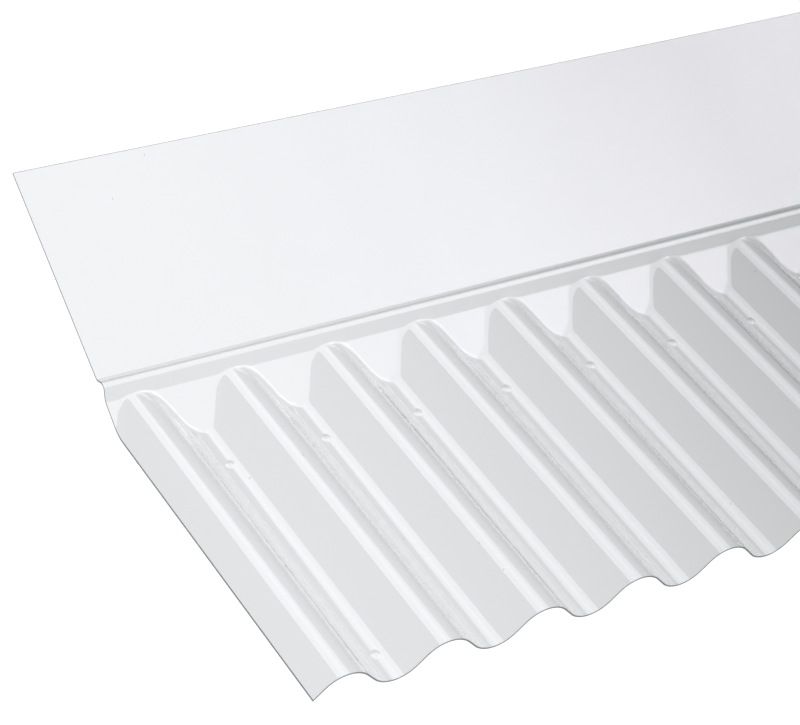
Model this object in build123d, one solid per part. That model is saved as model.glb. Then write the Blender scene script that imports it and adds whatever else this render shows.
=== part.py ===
from build123d import *
from math import ceil, cos, radians, sin
import os

# Wall flashing for corrugated roofing, formed as one piece from clear PVC sheet.
# Millimetres, +Z up. X runs along the wall and +Y from the apron's front edge to the flange.
# The part lies on the troughs of its apron, and its origin is under the middle of its outline.

LENGTH = 950.0
SHEET = 1.2

# Corrugation, measured on the middle of the sheet.
PITCH = 76.0
WAVE_DEPTH = 20.0
FLANK_ANGLE = 46.0
FIRST_CREST = 23.0

# Bent section behind the corrugation. Heights are above the middle of the wave.
APRON_DEPTH = 280.3
RAMP_ANGLE = 30.4
FOOT_HEIGHT = 8.8
RISER_ANGLE = 65.4
SHOULDER_HEIGHT = 19.6
LEDGE = 9.9
LEDGE_FALL = 21.6
FLANGE = 160.3
FLANGE_ANGLE = 26.3

# Radii on the middle of the sheet.
NOSE_RADIUS = 8.0
SHOULDER_RADIUS = 5.0
HEEL_RADIUS = 3.0

HALF_PITCH = PITCH / 2
# Both skins of the sheet start as blocks that are filled down to this height.
BASE = -2 * WAVE_DEPTH


def direction(angle):
    """Unit vector in the bent section's plane, its angle counted up from level."""
    return Vector(cos(radians(angle)), sin(radians(angle)))


def skin_corners(shift):
    """Foot, shoulder, heel and end of the bent section, set off square to the sheet by the shift."""
    foot = Vector(APRON_DEPTH, FOOT_HEIGHT)
    riser = (SHOULDER_HEIGHT - FOOT_HEIGHT) / sin(radians(RISER_ANGLE))
    shoulder = foot + direction(RISER_ANGLE) * riser
    heel = shoulder + direction(-LEDGE_FALL) * LEDGE
    end = heel + direction(FLANGE_ANGLE) * FLANGE
    angles = (RAMP_ANGLE, RISER_ANGLE, -LEDGE_FALL, FLANGE_ANGLE, FLANGE_ANGLE)
    corners = []
    for corner, before, after in zip((foot, shoulder, heel, end), angles, angles[1:]):
        reach = shift / cos(radians(after - before) / 2)
        corners.append(corner + direction((before + after) / 2 + 90) * reach)
    return corners


def wave_block(shift):
    """Half a corrugation, crest to trough, under the skin that the shift sets off.

    Two arcs of one middle radius meet a straight flank, so the sheet keeps its thickness.
    The block runs back until it is buried under the shoulder.
    """
    slope = radians(FLANK_ANGLE)
    radius = (HALF_PITCH * sin(slope) - WAVE_DEPTH * cos(slope)) / (2 - 2 * cos(slope))
    rise = WAVE_DEPTH / 2 - radius
    crest = CenterArc((0, rise), radius + shift, 90, -FLANK_ANGLE)
    trough = CenterArc((HALF_PITCH, -rise), radius - shift, 270 - FLANK_ANGLE, FLANK_ANGLE)
    flank = Line(crest @ 1, trough @ 0)
    sides = Polyline(trough @ 1, (HALF_PITCH, BASE), (0, BASE), crest @ 0)
    outline = make_face([crest, flank, trough, sides])
    shoulder = skin_corners(shift)[1]
    return extrude(Plane.XZ * outline, amount=shoulder.X, dir=(0, 1, 0))


def section_block(shift, overrun):
    """Ramp, riser, ledge and flange over half a corrugation, under the skin that the shift sets off.

    The overrun carries the block past the flange's end.
    """
    foot, shoulder, heel, end = skin_corners(shift)
    start = foot - direction(RAMP_ANGLE) * ((foot.Y - BASE) / sin(radians(RAMP_ANGLE)))
    end += direction(FLANGE_ANGLE) * overrun
    back = end - direction(FLANGE_ANGLE + 90) * ((end.Y - BASE) / cos(radians(FLANGE_ANGLE)))
    outline = make_face(Polyline(start, foot, shoulder, heel, end, back, close=True))
    return extrude(Plane.YZ * outline, amount=HALF_PITCH, dir=(1, 0, 0))


def skin_block(shift, overrun=0.0):
    """Wave and bent section under one skin, with the noses and bends rounded.

    The nose radius runs along the wave's whole meeting with the ramp and riser, and along the foot.
    """
    wave = wave_block(shift)
    section = section_block(shift, overrun)
    block = wave + section
    foot, shoulder, heel, _ = (Vector(HALF_PITCH, c.X, c.Y) for c in skin_corners(shift))
    noses = new_edges(wave, section, combined=block)
    foot_edge = block.edges().filter_by(Axis.X).sort_by_distance(foot)[0]
    block = fillet([*noses, foot_edge], NOSE_RADIUS - shift)
    bends = ((shoulder, SHOULDER_RADIUS + shift), (heel, HEEL_RADIUS - shift))
    for corner, radius in bends:
        edge = block.edges().filter_by(Axis.X).sort_by_distance(corner)[0]
        block = fillet(edge, radius)
    return block


def corrugation():
    """One crest with half a trough on each side, over the whole section of the part."""
    half = skin_block(SHEET / 2) - skin_block(-SHEET / 2, overrun=SHEET)
    return half + mirror(half, about=Plane.YZ)


def wall_flashing():
    """Corrugations side by side, trimmed to length and set down over the origin."""
    crest = corrugation()
    count = ceil((LENGTH - FIRST_CREST) / PITCH)
    row = [Pos(FIRST_CREST + i * PITCH, 0, 0) * crest for i in range(-1, count + 1)]
    sheet = row[0].fuse(*row[1:]).clean()
    bounds = sheet.bounding_box()
    span = Pos(LENGTH / 2, bounds.center().Y, bounds.center().Z)
    sheet = sheet & span * Box(LENGTH, 2 * bounds.size.Y, 2 * bounds.size.Z)
    return Pos(-LENGTH / 2, -bounds.center().Y, -bounds.min.Z) * sheet


os.makedirs("parts", exist_ok=True)
export_step(wall_flashing(), "parts/wall_flashing.step")
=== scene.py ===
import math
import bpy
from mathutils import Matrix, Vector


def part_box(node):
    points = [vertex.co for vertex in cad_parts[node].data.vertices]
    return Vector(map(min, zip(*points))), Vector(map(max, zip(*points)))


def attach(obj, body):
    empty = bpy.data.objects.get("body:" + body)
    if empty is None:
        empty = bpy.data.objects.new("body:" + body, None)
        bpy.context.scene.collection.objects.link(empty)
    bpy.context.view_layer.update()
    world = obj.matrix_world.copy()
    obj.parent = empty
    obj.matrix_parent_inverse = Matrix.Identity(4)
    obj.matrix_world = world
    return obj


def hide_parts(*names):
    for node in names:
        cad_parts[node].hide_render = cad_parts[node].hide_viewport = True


bl_info = {
    "name": "Wall flashing",
    "version": (1, 0, 0),
    "blender": (4, 5, 0),
    "location": "View3D > Sidebar > Flashing",
    "description": "Dresses the clear wall flashing and sets it on a white light table",
    "category": "Object",
}

import bmesh
import bpy
from bpy.props import FloatProperty, FloatVectorProperty, IntProperty, PointerProperty
from mathutils import Matrix, Vector

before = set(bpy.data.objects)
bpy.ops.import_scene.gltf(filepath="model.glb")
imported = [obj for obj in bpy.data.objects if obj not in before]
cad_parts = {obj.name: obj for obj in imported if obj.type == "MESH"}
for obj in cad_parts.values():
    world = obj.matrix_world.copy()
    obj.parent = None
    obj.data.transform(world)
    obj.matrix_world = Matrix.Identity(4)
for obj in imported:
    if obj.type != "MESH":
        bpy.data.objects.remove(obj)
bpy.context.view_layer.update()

NODE = "wall_flashing"
SHEET_LOW, SHEET_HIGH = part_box(NODE)

# Mesh steps across the bends and the flange, and the segments that round a bend.
BEND_STEP = 0.0018
FLANGE_STEP = 0.02
BEND_SEGMENTS = 6
# Half the width of the finer patch around a pip, and its cuts from front to back.
PIP_PATCH = 0.006
PIP_CUTS = 8
# Distance that counts as none.
SLACK = 1e-5
# Share of the length from which the flange springs up.
SPRING_START = 0.4

# Scales of the patterns in the finish, per metre, the same all ways or along X, Y and Z.
CLOUD_SCALE = 22.0
STREAK_SCALE = (9.0, 160.0, 160.0)
SAW_MARK_SCALE = 240.0
SAG_SCALE = 13.0
DRAW_LINE_SCALE = 130.0
# Sag and draw lines run from front to back, and the lines are this share of the sag's height.
DRAWN_OUT = (1.0, 0.12, 1.0)
DRAW_LINE_HEIGHT = 0.06
# Values of a pattern between which its effect fades in.
CLOUD_FADE = (0.3, 0.7)
STREAK_FADE = (0.66, 0.78)
SPECK_RIM = (0.018, 0.008)
SPECK_CHANCE = (0.86, 0.87)
# Shares of the sheet's roughness between which the clouds change it.
CLOUD_SHARES = (0.5, 1.5)
# Shares of the cut edge's colour between which the saw marks change it.
DARK_MARK = 0.8
PALE_MARK = 1.2

# Half the width of the floor, and how far it lies under the part.
FLOOR_HALF = 6.0
FLOOR_DROP = 0.0002
# Direction in which the table dims where it is seen through the sheet, painted shade that darkens the
# sheet towards the right, and the places along it between which it does.
TABLE_SLANT = (1.0, -0.23, 0.0)
TABLE_FADE = (-0.42, 0.42)

# Edges of the lights that the sheet mirrors, in parts of a direction of length 1. A light fades in
# from the first number to the second. A share named after an edge is what is left of it beyond.
SOFTBOX_LEFT = (-0.09, -0.04)
SOFTBOX_FRONT = (-0.65, -0.45)
# The softbox's back edge lies across this slant, and the other edges across X, Y or Z.
SOFTBOX_SLANT = (0.0, -0.45, 1.0)
SOFTBOX_BACK = (0.38, 0.43)
SOFTBOX_RIGHT = (0.76, 0.66)
SOFTBOX_RIGHT_SHARE = 0.32
SOFTBOX_LOW = (0.62, 0.80)
SOFTBOX_LOW_SHARE = 0.75
CORE_LEFT = (0.45, 0.63)
CORE_BACK = (0.40, 0.10)
# A patch of the softbox adds its gain to the share of the light that the rest has.
PATCH_LEFT = (0.12, 0.28)
PATCH_RIGHT = (0.44, 0.32)
PATCH_FRONT = (0.20, 0.40)
PATCH_GAIN = 0.25
REST_SHARE = 0.95
WALL_FRONT = (0.50, 0.70)
WALL_TOP = (0.20, 0.10)
WALL_RIGHT = (0.62, 0.42)
WALL_RIGHT_SHARE = 0.2
FRONT_LEFT = (0.50, 0.64)
FRONT_BACK = (-0.60, -0.75)
ROOM_BACK = (0.75, 0.55)


class FlashingSizes(bpy.types.PropertyGroup):
    """Sizes of the formed sheet, measured on the middle of its thickness."""

    length: FloatProperty(
        name="Length",
        description="Length along the wall",
        default=SHEET_HIGH.x - SHEET_LOW.x,
        unit="LENGTH",
    )
    sheet: FloatProperty(
        name="Sheet",
        description="Thickness of the sheet",
        default=0.0012,
        unit="LENGTH",
    )
    pitch: FloatProperty(
        name="Pitch",
        description="Distance from crest to crest",
        default=0.076,
        unit="LENGTH",
    )
    wave_depth: FloatProperty(
        name="Wave depth",
        description="Height of a crest over a trough",
        default=0.020,
        unit="LENGTH",
    )
    flank_angle: FloatProperty(
        name="Flank angle",
        description="Steepest slope of the corrugation",
        default=math.radians(46.0),
        subtype="ANGLE",
    )
    first_crest: FloatProperty(
        name="First crest",
        description="Distance of the first crest from the left end",
        default=0.023,
        unit="LENGTH",
    )
    apron_depth: FloatProperty(
        name="Apron depth",
        description="Distance of the riser's foot from the front edge",
        default=0.2803,
        unit="LENGTH",
    )
    ramp_angle: FloatProperty(
        name="Ramp angle",
        description="Slope of the ramps between the crests",
        default=math.radians(30.4),
        subtype="ANGLE",
    )
    foot_height: FloatProperty(
        name="Foot height",
        description="Height of the riser's foot over the middle of the wave",
        default=0.0088,
        unit="LENGTH",
    )
    riser_angle: FloatProperty(
        name="Riser angle",
        description="Slope of the riser",
        default=math.radians(65.4),
        subtype="ANGLE",
    )
    shoulder_height: FloatProperty(
        name="Shoulder height",
        description="Height of the shoulder's corner over the middle of the wave",
        default=0.0196,
        unit="LENGTH",
    )
    ledge: FloatProperty(
        name="Ledge",
        description="Width of the strip between shoulder and flange",
        default=0.0099,
        unit="LENGTH",
    )
    ledge_fall: FloatProperty(
        name="Ledge fall",
        description="Slope of the strip down to the flange's crease",
        default=math.radians(21.6),
        subtype="ANGLE",
    )
    flange: FloatProperty(
        name="Flange",
        description="Width of the flange from its crease to its free edge",
        default=0.1603,
        unit="LENGTH",
    )
    flange_angle: FloatProperty(
        name="Flange angle",
        description="Slope of the flange as the part lies",
        default=math.radians(26.3),
        subtype="ANGLE",
    )
    nose_radius: FloatProperty(
        name="Nose radius",
        description="Rounding where the crests run out into the ramps and the riser",
        default=0.008,
        unit="LENGTH",
    )
    shoulder_radius: FloatProperty(
        name="Shoulder radius",
        description="Rounding between riser and ledge",
        default=0.005,
        unit="LENGTH",
    )
    heel_radius: FloatProperty(
        name="Heel radius",
        description="Rounding of the crease between ledge and flange",
        default=0.003,
        unit="LENGTH",
    )
    flange_lift: FloatProperty(
        name="Flange lift",
        description="How far the flange's free edge springs up towards the right end",
        default=0.006,
        unit="LENGTH",
    )
    pip_radius: FloatProperty(
        name="Pip radius",
        description="Radius of the vent pips in the troughs",
        default=0.0038,
        unit="LENGTH",
    )
    pip_height: FloatProperty(
        name="Pip height",
        description="Height of the vent pips",
        default=0.0006,
        unit="LENGTH",
    )
    pip_depth: FloatProperty(
        name="Pip depth",
        description="Distance of the row of pips from the front edge",
        default=0.212,
        unit="LENGTH",
    )
    first_pip_depth: FloatProperty(
        name="First pip depth",
        description="Distance of the first trough's extra pip from the front edge",
        default=0.023,
        unit="LENGTH",
    )
    columns: IntProperty(
        name="Columns",
        description="Strips of faces across half a corrugation",
        default=26,
    )


class SheetFinish(bpy.types.PropertyGroup):
    """Colours and gloss of the clear sheet."""

    tint: FloatVectorProperty(
        name="Tint",
        description="Share of light that passes the sheet",
        default=(0.867, 0.885, 0.893),
        subtype="COLOR",
        min=0.0,
        max=1.0,
    )
    # Colour of the cut edges: partly their own, partly painted shade for the dark line that light
    # caught inside a clear sheet shows along its edges.
    edge: FloatVectorProperty(
        name="Cut edge",
        description="Colour of the sawn edges",
        default=(0.30, 0.32, 0.33),
        subtype="COLOR",
        min=0.0,
        max=1.0,
    )
    edge_roughness: FloatProperty(
        name="Cut edge roughness",
        description="Roughness of the sawn edges",
        default=0.45,
        subtype="FACTOR",
    )
    roughness: FloatProperty(
        name="Roughness",
        description="Roughness of the glossy skins",
        default=0.02,
        subtype="FACTOR",
    )
    rubbed: FloatProperty(
        name="Rubbed",
        description="Roughness that the faint streaks add",
        default=0.10,
        subtype="FACTOR",
    )
    waviness: FloatProperty(
        name="Waviness",
        description="Height of the slight waves that forming leaves in the sheet",
        default=0.0003,
        unit="LENGTH",
    )
    speck: FloatVectorProperty(
        name="Speck",
        description="Colour of the few dust specks on the sheet",
        default=(0.55, 0.55, 0.53),
        subtype="COLOR",
    )
    speck_spacing: FloatProperty(
        name="Speck spacing",
        description="Size of the cells of which some hold a speck",
        default=0.034,
        unit="LENGTH",
    )
    refraction: FloatProperty(
        name="Refraction",
        description="Index of refraction of rigid PVC",
        default=1.53,
    )


class StudioSettings(bpy.types.PropertyGroup):
    """Camera and light."""

    camera_place: FloatVectorProperty(
        name="Camera",
        description="Place of the camera",
        default=(-1.22157, -1.09839, 1.19755),
        subtype="XYZ",
        unit="LENGTH",
    )
    camera_direction: FloatVectorProperty(
        name="Direction",
        description="Direction in which the camera looks",
        default=(0.50851, 0.59458, -0.62281),
        subtype="DIRECTION",
    )
    camera_roll: FloatProperty(
        name="Roll",
        description="Turn of the camera about its line of sight",
        default=math.radians(13.33),
        subtype="ANGLE",
    )
    lens: FloatProperty(
        name="Lens",
        description="Focal length on a 36 mm sensor",
        default=121.075,
        unit="CAMERA",
    )
    open_table: FloatProperty(
        name="Open table",
        description="Brightness of the bare table",
        default=1.1,
    )
    # Glow of the table where it is seen through the sheet: a painted shadow of the sheet, falling to
    # the right as painted shade.
    table: FloatProperty(
        name="Table",
        description="Brightness of the table under the left end of the sheet",
        default=0.95,
    )
    table_shade_right: FloatProperty(
        name="Table, right",
        description="Share of that brightness towards which it falls to the right",
        default=0.48,
        subtype="FACTOR",
    )
    table_least: FloatProperty(
        name="Table, least",
        description="Share of that brightness below which it doesn't fall",
        default=0.62,
        subtype="FACTOR",
    )
    softbox: FloatProperty(
        name="Softbox",
        description="Brightness of the overhead softbox that the sheet mirrors",
        default=1.65,
    )
    softbox_core: FloatProperty(
        name="Softbox core",
        description="Brightness that the softbox gains towards the right",
        default=1.75,
    )
    horizon: FloatProperty(
        name="Horizon",
        description="Brightness of the low wall behind on the left",
        default=0.9,
    )
    front: FloatProperty(
        name="Front",
        description="Brightness of the low wall in front on the right",
        default=0.4,
    )
    colour: FloatVectorProperty(
        name="Colour",
        description="Colour of the light that the sheet mirrors",
        default=(0.99, 0.95, 1.04),
        subtype="COLOR",
    )
    bounces: IntProperty(
        name="Bounces",
        description="Bounces after which light that runs along inside the sheet is dropped",
        default=40,
        min=1,
    )
    dim: FloatProperty(
        name="Dim side",
        description="Brightness of the room outside the softbox",
        default=0.15,
    )


def add_node(tree, kind, settings=None, **sockets):
    """Adds a shader node and fills its sockets with plain values or other nodes' outputs.

    A socket is named, with _ for a space, or numbered, as in i0.
    """
    node = tree.nodes.new(kind)
    for name, value in (settings or {}).items():
        setattr(node, name, value)
    for name, value in sockets.items():
        key = int(name[1:]) if name[1:].isdigit() else name.replace("_", " ")
        if isinstance(value, bpy.types.NodeSocket):
            tree.links.new(value, node.inputs[key])
        else:
            node.inputs[key].default_value = value
    return node


def math_node(tree, operation, first, second=0.0, third=0.0):
    """Output of a Math node."""
    node = add_node(tree, "ShaderNodeMath", {"operation": operation}, i0=first, i1=second, i2=third)
    return node.outputs["Value"]


def dot_product(tree, first, second):
    """Output of the dot product of two vectors."""
    node = add_node(tree, "ShaderNodeVectorMath", {"operation": "DOT_PRODUCT"}, i0=first, i1=second)
    return node.outputs["Value"]


def fade(tree, value, edges, levels=(0.0, 1.0)):
    """Output that changes smoothly between two levels while a value passes between two edges."""
    node = add_node(
        tree,
        "ShaderNodeMapRange",
        {"interpolation_type": "SMOOTHSTEP"},
        Value=value,
        From_Min=edges[0],
        From_Max=edges[1],
        To_Min=levels[0],
        To_Max=levels[1],
    )
    return node.outputs["Result"]


def mix_colours(tree, share, first, second):
    """Output of a Mix node between two colours."""
    node = add_node(
        tree, "ShaderNodeMix", {"data_type": "RGBA"}, i0=share, i6=(*first, 1.0), i7=(*second, 1.0)
    )
    return node.outputs[2]


def seen_or_mirrored(tree, seen, mirrored):
    """One level for what the camera sees directly, and one for what it sees in or through the sheet."""
    direct = add_node(tree, "ShaderNodeLightPath").outputs["Is Camera Ray"]
    node = add_node(tree, "ShaderNodeMix", {"data_type": "FLOAT"}, i0=direct, i2=mirrored, i3=seen)
    return node.outputs[0]


def new_material(name):
    """Material with a Principled shader, and that shader."""
    material = bpy.data.materials.new(name)
    material.use_nodes = True
    return material, material.node_tree.nodes["Principled BSDF"]


def clear_pvc(finish):
    """Clear glossy sheet, slightly wavy from forming, with faint rubbed streaks and a few specks."""
    material, shader = new_material("clear_pvc")
    tree = material.node_tree
    place = add_node(tree, "ShaderNodeTexCoord").outputs["Object"]

    clouds = add_node(tree, "ShaderNodeTexNoise", Vector=place, Scale=CLOUD_SCALE, Detail=3.0)
    clouded = [finish.roughness * share for share in CLOUD_SHARES]
    rough = fade(tree, clouds.outputs["Fac"], CLOUD_FADE, clouded)
    stretched = add_node(tree, "ShaderNodeMapping", Vector=place, Scale=STREAK_SCALE).outputs[0]
    streaks = add_node(tree, "ShaderNodeTexNoise", Vector=stretched, Scale=1.0, Detail=2.0)
    rubbed = fade(tree, streaks.outputs["Fac"], STREAK_FADE, (0.0, finish.rubbed))
    tree.links.new(math_node(tree, "ADD", rough, rubbed), shader.inputs["Roughness"])

    cells = add_node(
        tree,
        "ShaderNodeTexVoronoi",
        {"voronoi_dimensions": "2D"},
        Vector=place,
        Scale=1 / finish.speck_spacing,
    )
    dot = fade(tree, cells.outputs["Distance"], SPECK_RIM)
    chance = add_node(tree, "ShaderNodeSeparateColor", Color=cells.outputs["Color"]).outputs[0]
    speck = math_node(tree, "MULTIPLY", dot, fade(tree, chance, SPECK_CHANCE))
    colour = mix_colours(tree, speck, finish.tint, finish.speck)
    tree.links.new(colour, shader.inputs["Base Color"])

    drawn = add_node(tree, "ShaderNodeMapping", Vector=place, Scale=DRAWN_OUT).outputs[0]
    sag = add_node(tree, "ShaderNodeTexNoise", Vector=drawn, Scale=SAG_SCALE, Detail=0.0)
    lines = add_node(tree, "ShaderNodeTexNoise", Vector=drawn, Scale=DRAW_LINE_SCALE, Detail=0.0)
    height = math_node(
        tree, "MULTIPLY_ADD", lines.outputs["Fac"], DRAW_LINE_HEIGHT, sag.outputs["Fac"]
    )
    relief = add_node(tree, "ShaderNodeBump", Height=height, Strength=1.0, Distance=finish.waviness)
    tree.links.new(relief.outputs[0], shader.inputs["Normal"])
    shader.inputs["IOR"].default_value = finish.refraction
    shader.inputs["Transmission Weight"].default_value = 1.0
    return material


def cut_edge_and_shade(finish):
    """Sawn edge of the sheet. Its flat dark grey is partly the edge's own colour and partly painted
    shade, standing in for the dark line that light caught inside a clear sheet shows along its edges;
    the saw marks vary it at random.
    """
    material, shader = new_material("cut_edge_and_shade")
    tree = material.node_tree
    place = add_node(tree, "ShaderNodeTexCoord").outputs["Object"]
    marks = add_node(tree, "ShaderNodeTexNoise", Vector=place, Scale=SAW_MARK_SCALE, Detail=2.0)
    dark = [part * DARK_MARK for part in finish.edge]
    pale = [part * PALE_MARK for part in finish.edge]
    colour = mix_colours(tree, marks.outputs["Fac"], dark, pale)
    tree.links.new(colour, shader.inputs["Base Color"])
    shader.inputs["Roughness"].default_value = finish.edge_roughness
    return material


class Corrugation:
    """Middle line of the corrugation: equal arcs over crests and troughs, and straight flanks."""

    def __init__(self, sizes):
        self.pitch = sizes.pitch
        self.first_crest = sizes.first_crest
        self.half_depth = sizes.wave_depth / 2
        self.steepest = math.tan(sizes.flank_angle)
        sine = math.sin(sizes.flank_angle)
        cosine = math.cos(sizes.flank_angle)
        self.radius = (self.pitch / 2 * sine - sizes.wave_depth * cosine) / (2 - 2 * cosine)
        self.arc = self.radius * sine

    def height_and_slope(self, along):
        """Height over the middle of the wave, and slope, at a distance from the left end."""
        across = (along - self.first_crest + self.pitch / 2) % self.pitch - self.pitch / 2
        aside = abs(across)
        from_trough = self.pitch / 2 - aside
        downhill = -1.0 if across > 0 else 1.0
        if aside < self.arc:
            drop = math.sqrt(self.radius**2 - aside**2)
            return self.half_depth - self.radius + drop, downhill * aside / drop
        if from_trough < self.arc:
            drop = math.sqrt(self.radius**2 - from_trough**2)
            return self.radius - self.half_depth - drop, downhill * from_trough / drop
        return (self.pitch / 4 - aside) * self.steepest, downhill * self.steepest


def bent_section(bm, sizes):
    """Wire along the middle of the bent section, in its own plane at the left end.

    Its ramp runs on below the troughs and its first stretch lies under the whole apron, with a
    short step around each depth at which the troughs have pips.
    """
    sunk = -sizes.wave_depth
    foot = Vector((0, sizes.apron_depth, sizes.foot_height))
    toe = Vector((0, foot.y - (foot.z - sunk) / math.tan(sizes.ramp_angle), sunk))
    shoulder = foot.copy()
    shoulder.y += (sizes.shoulder_height - sizes.foot_height) / math.tan(sizes.riser_angle)
    shoulder.z = sizes.shoulder_height
    fall = sizes.ledge_fall
    heel = shoulder + sizes.ledge * Vector((0, math.cos(fall), -math.sin(fall)))
    end = heel + sizes.flange * Vector((0, math.cos(sizes.flange_angle), math.sin(sizes.flange_angle)))
    apron = [Vector((0, 0, sunk))]
    for depth in (sizes.first_pip_depth, sizes.pip_depth):
        apron += [Vector((0, depth + side * PIP_PATCH, sunk)) for side in (-1, 1)]
    corners = [bm.verts.new(place) for place in (*apron, toe, foot, shoulder, heel, end)]
    for here, there in zip(corners, corners[1:]):
        bm.edges.new((here, there))
    bends = (
        (corners[-4], sizes.nose_radius, sizes.riser_angle - sizes.ramp_angle),
        (corners[-3], sizes.shoulder_radius, sizes.riser_angle + fall),
        (corners[-2], sizes.heel_radius, fall + sizes.flange_angle),
    )
    for corner, radius, turn in bends:
        bmesh.ops.bevel(
            bm,
            geom=[corner],
            offset=radius * math.tan(turn / 2),
            offset_type="OFFSET",
            affect="VERTICES",
            segments=BEND_SEGMENTS,
            profile=0.5,
            material=-1,
        )
    for edge in bm.edges[:]:
        middle = (edge.verts[0].co + edge.verts[1].co) / 2
        if middle.y > toe.y:
            step = BEND_STEP if middle.y < heel.y + sizes.heel_radius else FLANGE_STEP
            cuts = round(edge.calc_length() / step) - 1
            if cuts > 0:
                bmesh.ops.subdivide_edges(bm, edges=[edge], cuts=cuts)


def sweep_along_wall(bm, sizes):
    """Draws the section's wire along the whole length and divides what it drew into strips."""
    steps = round(sizes.length / sizes.pitch * 2)
    bmesh.ops.spin(
        bm,
        geom=bm.verts[:] + bm.edges[:],
        cent=(0, 0, 0),
        axis=(1, 0, 0),
        dvec=(sizes.length / steps, 0, 0),
        angle=0.0,
        steps=steps,
    )
    lengthways = [edge for edge in bm.edges if abs(edge.verts[0].co.x - edge.verts[1].co.x) > SLACK]
    bmesh.ops.subdivide_edges(bm, edges=lengthways, cuts=sizes.columns - 1)
    bmesh.ops.recalc_face_normals(bm, faces=bm.faces[:])
    if sum(face.normal.z for face in bm.faces) < 0:
        bmesh.ops.reverse_faces(bm, faces=bm.faces[:])
    bm.normal_update()


def press_corrugation(bm, sizes):
    """Lifts the sheet to the corrugation where that stands higher, with a rounded run-out."""
    corrugation = Corrugation(sizes)
    for vertex in bm.verts:
        height, slope = corrugation.height_and_slope(vertex.co.x)
        upright = Vector((-slope, 0, 1)).normalized()
        turn = upright.angle(vertex.normal)
        spread = (1 / upright.z + 1 / vertex.normal.z) / 2
        reach = sizes.nose_radius * math.tan(turn / 2) * math.sin(turn) * spread
        apart = abs(height - vertex.co.z)
        vertex.co.z = max(height, vertex.co.z)
        if apart < reach:
            vertex.co.z += (reach - apart) ** 2 / (4 * reach)
    bm.normal_update()


def in_patch(part, along, depth):
    """Whether an edge or face lies in the patch around a pip."""
    return all(
        abs(vertex.co.x - along) < PIP_PATCH and abs(vertex.co.y - depth) < PIP_PATCH + SLACK
        for vertex in part.verts
    )


def raise_pips(bm, sizes):
    """Raises a small round vent pip in each trough, and a second one near the front of the first."""
    trough = sizes.first_crest + sizes.pitch / 2
    places = [(trough, sizes.first_pip_depth)]
    while trough < sizes.length:
        places.append((trough, sizes.pip_depth))
        trough += sizes.pitch
    for along, depth in places:
        front_to_back = [
            edge
            for edge in bm.edges
            if abs(edge.verts[0].co.y - edge.verts[1].co.y) > PIP_PATCH and in_patch(edge, along, depth)
        ]
        bmesh.ops.subdivide_edges(bm, edges=front_to_back, cuts=PIP_CUTS)
        faces = [face for face in bm.faces if in_patch(face, along, depth)]
        inner = dict.fromkeys(edge for face in faces for edge in face.edges)
        bmesh.ops.subdivide_edges(bm, edges=list(inner), cuts=1, use_grid_fill=True)
        for vertex in bm.verts:
            away = math.hypot(vertex.co.x - along, vertex.co.y - depth) / sizes.pip_radius
            if away < 1.0:
                vertex.co.z += sizes.pip_height * (1 - away**4) ** 2
    bm.normal_update()


def spring_flange(bm, sizes):
    """Lets the flange spring up a little towards the right end, most at its free edge."""
    start = sizes.apron_depth + sizes.ledge
    square = Vector((0, -math.sin(sizes.flange_angle), math.cos(sizes.flange_angle)))
    for vertex in bm.verts:
        out = max(vertex.co.y - start, 0.0) / (sizes.flange * math.cos(sizes.flange_angle))
        sprung = (vertex.co.x / sizes.length - SPRING_START) / (1 - SPRING_START)
        sprung = min(max(sprung, 0.0), 1.0)
        vertex.co += square * sizes.flange_lift * out**2 * sprung**2 * (3 - 2 * sprung)
    bm.normal_update()


def thicken(bm, sizes):
    """Gives the sheet its thickness, half to each side, and hands back the faces of its cut rim.

    The two ends are cut square to the length, so their edges move in the plane of the cut.
    """

    def square_to_sheet(vertex):
        normal = vertex.normal.copy()
        if min(vertex.co.x, sizes.length - vertex.co.x) < sizes.sheet / 2:
            normal.x = 0.0
            return normal / normal.length_squared
        return normal * vertex.calc_shell_factor()

    lower = bm.faces[:]
    across = {vertex: square_to_sheet(vertex) * sizes.sheet for vertex in bm.verts}
    for vertex, offset in across.items():
        vertex.co -= offset / 2
    bm.normal_update()
    grown = bmesh.ops.extrude_face_region(bm, geom=lower, use_keep_orig=True)["geom"]
    upper = [part for part in grown if isinstance(part, bmesh.types.BMFace)]
    raised = [part for part in grown if isinstance(part, bmesh.types.BMVert)]
    for vertex, offset in [(vertex, square_to_sheet(vertex)) for vertex in raised]:
        vertex.co += offset * sizes.sheet
    bmesh.ops.recalc_face_normals(bm, faces=bm.faces[:])
    return list(set(bm.faces) - set(lower) - set(upper))


class OBJECT_OT_flashing_sheet(bpy.types.Operator):
    """Build the formed clear sheet with its cut edges"""

    bl_idname = "object.flashing_sheet"
    bl_label = "Flashing sheet"

    def execute(self, context):
        sizes = context.scene.flashing_sizes
        finish = context.scene.flashing_finish
        bm = bmesh.new()
        bent_section(bm, sizes)
        sweep_along_wall(bm, sizes)
        press_corrugation(bm, sizes)
        raise_pips(bm, sizes)
        spring_flange(bm, sizes)
        rim = thicken(bm, sizes)
        for face in bm.faces:
            face.smooth = True
        for face in rim:
            face.material_index = 1
            for edge in face.edges:
                edge.smooth = False
        middle = sizes.wave_depth / 2 + sizes.sheet / 2
        bmesh.ops.translate(bm, verts=bm.verts[:], vec=(SHEET_LOW.x, SHEET_LOW.y, middle))
        if bm.calc_volume(signed=True) <= 0:
            raise RuntimeError("the sheet's faces point inwards")
        mesh = bpy.data.meshes.new("flashing_sheet")
        bm.to_mesh(mesh)
        bm.free()
        mesh.materials.append(clear_pvc(finish))
        mesh.materials.append(cut_edge_and_shade(finish))
        sheet = bpy.data.objects.new("flashing_sheet", mesh)
        context.scene.collection.objects.link(sheet)
        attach(sheet, "root")
        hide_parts(NODE)
        return {"FINISHED"}


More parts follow.
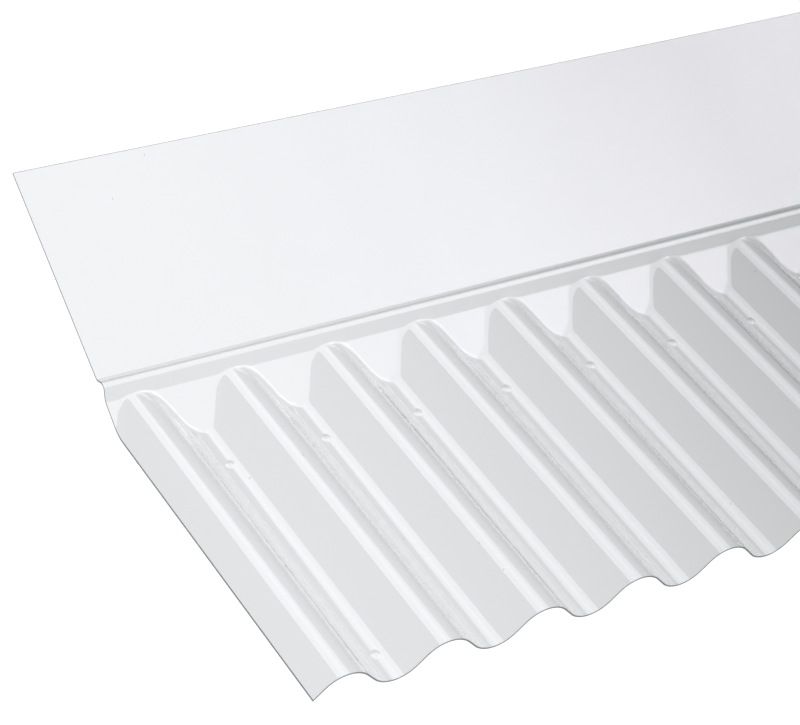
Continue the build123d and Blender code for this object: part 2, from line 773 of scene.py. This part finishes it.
def light_table(studio):
    """White table lit from within. Seen through the sheet it glows dimmer than seen directly, a painted
    shadow of the sheet, and dimmer still towards the right, painted shade that darkens the sheet's
    right side.
    """
    material, shader = new_material("light_table")
    tree = material.node_tree
    tree.nodes.remove(shader)
    place = add_node(tree, "ShaderNodeTexCoord").outputs["Object"]
    along = dot_product(tree, place, TABLE_SLANT)
    share = fade(tree, along, TABLE_FADE, (1.0, studio.table_shade_right))
    share = math_node(tree, "MAXIMUM", share, studio.table_least)
    # Painted shadow and shade: the level at which the table is seen through the sheet, lower than the
    # bare table's and falling to the right.
    through = math_node(tree, "MULTIPLY", share, studio.table)
    level = seen_or_mirrored(tree, studio.open_table, through)
    glow = add_node(tree, "ShaderNodeEmission", Strength=level)
    tree.links.new(glow.outputs[0], tree.nodes["Material Output"].inputs["Surface"])
    return material


def add_floor(scene, studio):
    """Level table under the part."""
    bm = bmesh.new()
    bmesh.ops.create_grid(bm, x_segments=1, y_segments=1, size=FLOOR_HALF)
    mesh = bpy.data.meshes.new("floor")
    bm.to_mesh(mesh)
    bm.free()
    mesh.materials.append(light_table(studio))
    floor = bpy.data.objects.new("floor", mesh)
    floor.location.z = -FLOOR_DROP
    scene.collection.objects.link(floor)


def add_light(scene, studio):
    """Dim room for the sheet to mirror, with a softbox overhead and low walls behind and in front."""
    world = bpy.data.worlds.new("studio")
    world.use_nodes = True
    tree = world.node_tree
    background = tree.nodes["Background"]
    direction = add_node(tree, "ShaderNodeTexCoord").outputs["Generated"]
    x, y, z = add_node(tree, "ShaderNodeSeparateXYZ", Vector=direction).outputs
    slanted = dot_product(tree, direction, SOFTBOX_SLANT)

    def product(*factors):
        result = factors[0]
        for factor in factors[1:]:
            result = math_node(tree, "MULTIPLY", result, factor)
        return result

    window = product(
        fade(tree, x, SOFTBOX_LEFT),
        fade(tree, y, SOFTBOX_FRONT),
        fade(tree, slanted, SOFTBOX_BACK),
    )
    core = product(
        fade(tree, x, CORE_LEFT, (0.0, studio.softbox_core)),
        fade(tree, y, CORE_BACK),
    )
    patch = product(
        fade(tree, x, PATCH_LEFT, (0.0, PATCH_GAIN)),
        fade(tree, x, PATCH_RIGHT),
        fade(tree, y, PATCH_FRONT),
    )
    overhead = product(
        window,
        math_node(tree, "ADD", core, studio.softbox),
        math_node(tree, "ADD", patch, REST_SHARE),
        fade(tree, x, SOFTBOX_RIGHT, (SOFTBOX_RIGHT_SHARE, 1.0)),
        fade(tree, z, SOFTBOX_LOW, (SOFTBOX_LOW_SHARE, 1.0)),
    )
    wall = product(
        fade(tree, x, WALL_RIGHT, (studio.horizon * WALL_RIGHT_SHARE, studio.horizon)),
        fade(tree, y, WALL_FRONT),
        fade(tree, z, WALL_TOP),
    )
    front = product(
        fade(tree, x, FRONT_LEFT, (0.0, studio.front)),
        fade(tree, y, FRONT_BACK),
    )
    mirrored = fade(tree, y, ROOM_BACK, (0.0, studio.dim))
    for light in (overhead, wall, front):
        mirrored = math_node(tree, "ADD", mirrored, light)
    level = seen_or_mirrored(tree, studio.open_table, mirrored)
    tree.links.new(level, background.inputs["Strength"])
    background.inputs["Color"].default_value = (*studio.colour, 1.0)
    scene.world = world


def add_camera(scene, studio):
    """Camera at the photograph's viewing angle."""
    data = bpy.data.cameras.new("camera")
    data.lens = studio.lens
    camera = bpy.data.objects.new("camera", data)
    aim = Vector(studio.camera_direction).to_track_quat("-Z", "Y").to_matrix()
    turn = aim @ Matrix.Rotation(studio.camera_roll, 3, "Z")
    camera.matrix_world = Matrix.Translation(studio.camera_place) @ turn.to_4x4()
    scene.collection.objects.link(camera)
    scene.camera = camera


class SCENE_OT_flashing_stage(bpy.types.Operator):
    """Set up the floor, the light and the camera"""

    bl_idname = "scene.flashing_stage"
    bl_label = "Flashing stage"

    def execute(self, context):
        studio = context.scene.flashing_studio
        add_floor(context.scene, studio)
        add_light(context.scene, studio)
        add_camera(context.scene, studio)
        context.scene.view_settings.view_transform = "Standard"
        context.scene.cycles.max_bounces = studio.bounces
        context.scene.cycles.transmission_bounces = studio.bounces
        context.scene.cycles.glossy_bounces = studio.bounces
        return {"FINISHED"}


class VIEW3D_PT_flashing(bpy.types.Panel):
    """Lists the flashing's pieces and stage"""

    bl_label = "Wall flashing"
    bl_idname = "VIEW3D_PT_flashing"
    bl_space_type = "VIEW_3D"
    bl_region_type = "UI"
    bl_category = "Flashing"

    def draw(self, context):
        layout = self.layout
        for group in ("flashing_sizes", "flashing_finish", "flashing_studio"):
            settings = getattr(context.scene, group)
            column = layout.column()
            for name in settings.__annotations__:
                column.prop(settings, name)
        layout.operator(OBJECT_OT_flashing_sheet.bl_idname)
        layout.operator(SCENE_OT_flashing_stage.bl_idname)


CLASSES = (
    FlashingSizes,
    SheetFinish,
    StudioSettings,
    OBJECT_OT_flashing_sheet,
    SCENE_OT_flashing_stage,
    VIEW3D_PT_flashing,
)


def register():
    for cls in CLASSES:
        bpy.utils.register_class(cls)
    bpy.types.Scene.flashing_sizes = PointerProperty(type=FlashingSizes)
    bpy.types.Scene.flashing_finish = PointerProperty(type=SheetFinish)
    bpy.types.Scene.flashing_studio = PointerProperty(type=StudioSettings)


def unregister():
    del bpy.types.Scene.flashing_studio
    del bpy.types.Scene.flashing_finish
    del bpy.types.Scene.flashing_sizes
    for cls in reversed(CLASSES):
        bpy.utils.unregister_class(cls)


def main():
    register()
    bpy.ops.object.flashing_sheet()
    bpy.ops.scene.flashing_stage()


if __name__ == "__main__":
    main()
